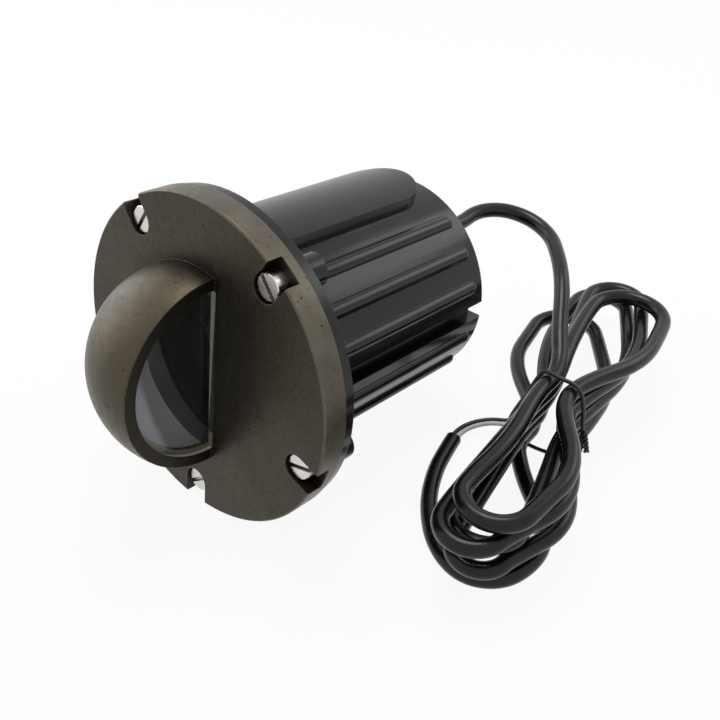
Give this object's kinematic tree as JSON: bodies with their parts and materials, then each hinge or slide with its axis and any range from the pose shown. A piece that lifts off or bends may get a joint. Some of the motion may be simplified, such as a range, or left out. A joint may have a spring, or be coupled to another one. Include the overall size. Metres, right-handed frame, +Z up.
{
  "type": "in-ground well light",
  "caption": "In-ground well light lying on its side: round bronze cover with a half-dome hood and glass window, ribbed black housing and a tied hank of black supply cord.",
  "frame": {"origin": "bottom centre of the light's bounding box as it lies on the floor, without the free cord", "axes": "+Z up from the floor; the light's own axis runs along Y, its cover facing -Y and raised 8 degrees; the window looks towards +X"},
  "size_m": [0.194, 0.2597, 0.1301],
  "materials": {
    "bronze": "satin antique cast bronze, browned, brighter on worn edges",
    "window_glass": "clear polished glass",
    "sealant": "grey-green silicone",
    "stainless": "turned stainless steel",
    "black_housing": "glossy black moulded plastic",
    "rubber": "matt black rubber",
    "brass": "machined brass",
    "aluminium": "plain aluminium sheet",
    "zinc_steel": "zinc-plated steel",
    "socket_ceramic": "unglazed white ceramic",
    "lamp_shell": "matt white heat-sink plastic",
    "lamp_lens": "frosted glass",
    "board": "lamp board with a yellow emitter",
    "wire_black": "black wire covering",
    "wire_white": "off-white wire covering",
    "splice": "dark heat-shrink sleeve",
    "cord_jacket": "semi-gloss black cord jacket",
    "black_tie": "black coated twist tie"
  },
  "bodies": {
    "housing": {"housing_body": "black_housing", "cover_gasket": "rubber", "screw_inserts": "brass", "carrier_plate": "aluminium", "carrier_screws": "stainless", "socket_strap": "zinc_steel", "strap_rivets": "aluminium", "lamp_socket": "socket_ceramic", "socket_contacts": "brass", "socket_lead_black": "wire_black", "socket_lead_white": "wire_white", "supply_core_black": "wire_black", "supply_core_white": "wire_white", "wire_splices": "splice", "strain_relief": "rubber", "cord_inner": "cord_jacket", "cord_stop": "black_tie", "cord_lead": "cord_jacket", "cord_hank": "cord_jacket", "far_core_black": "wire_black", "far_core_white": "wire_white", "cord_tie": "black_tie"},
    "cover": {"cover_casting": "bronze", "window_glass": "window_glass", "window_sealant": "sealant", "cover_screws": "stainless"},
    "lamp": {"lamp_shell": "lamp_shell", "lamp_lens": "lamp_lens", "lamp_board": "board", "lamp_base": "socket_ceramic", "lamp_pins": "zinc_steel"}
  },
  "joints": [
    {"name": "cover_lift", "type": "slide", "parent": "housing", "child": "cover", "axis": [0, -0.9901, 0.1403], "range_m": [0, 0.06]},
    {"name": "lamp_pull", "type": "slide", "parent": "housing", "child": "lamp", "axis": [0, -0.9901, 0.1403], "range_m": [0, 0.018]}
  ]
}
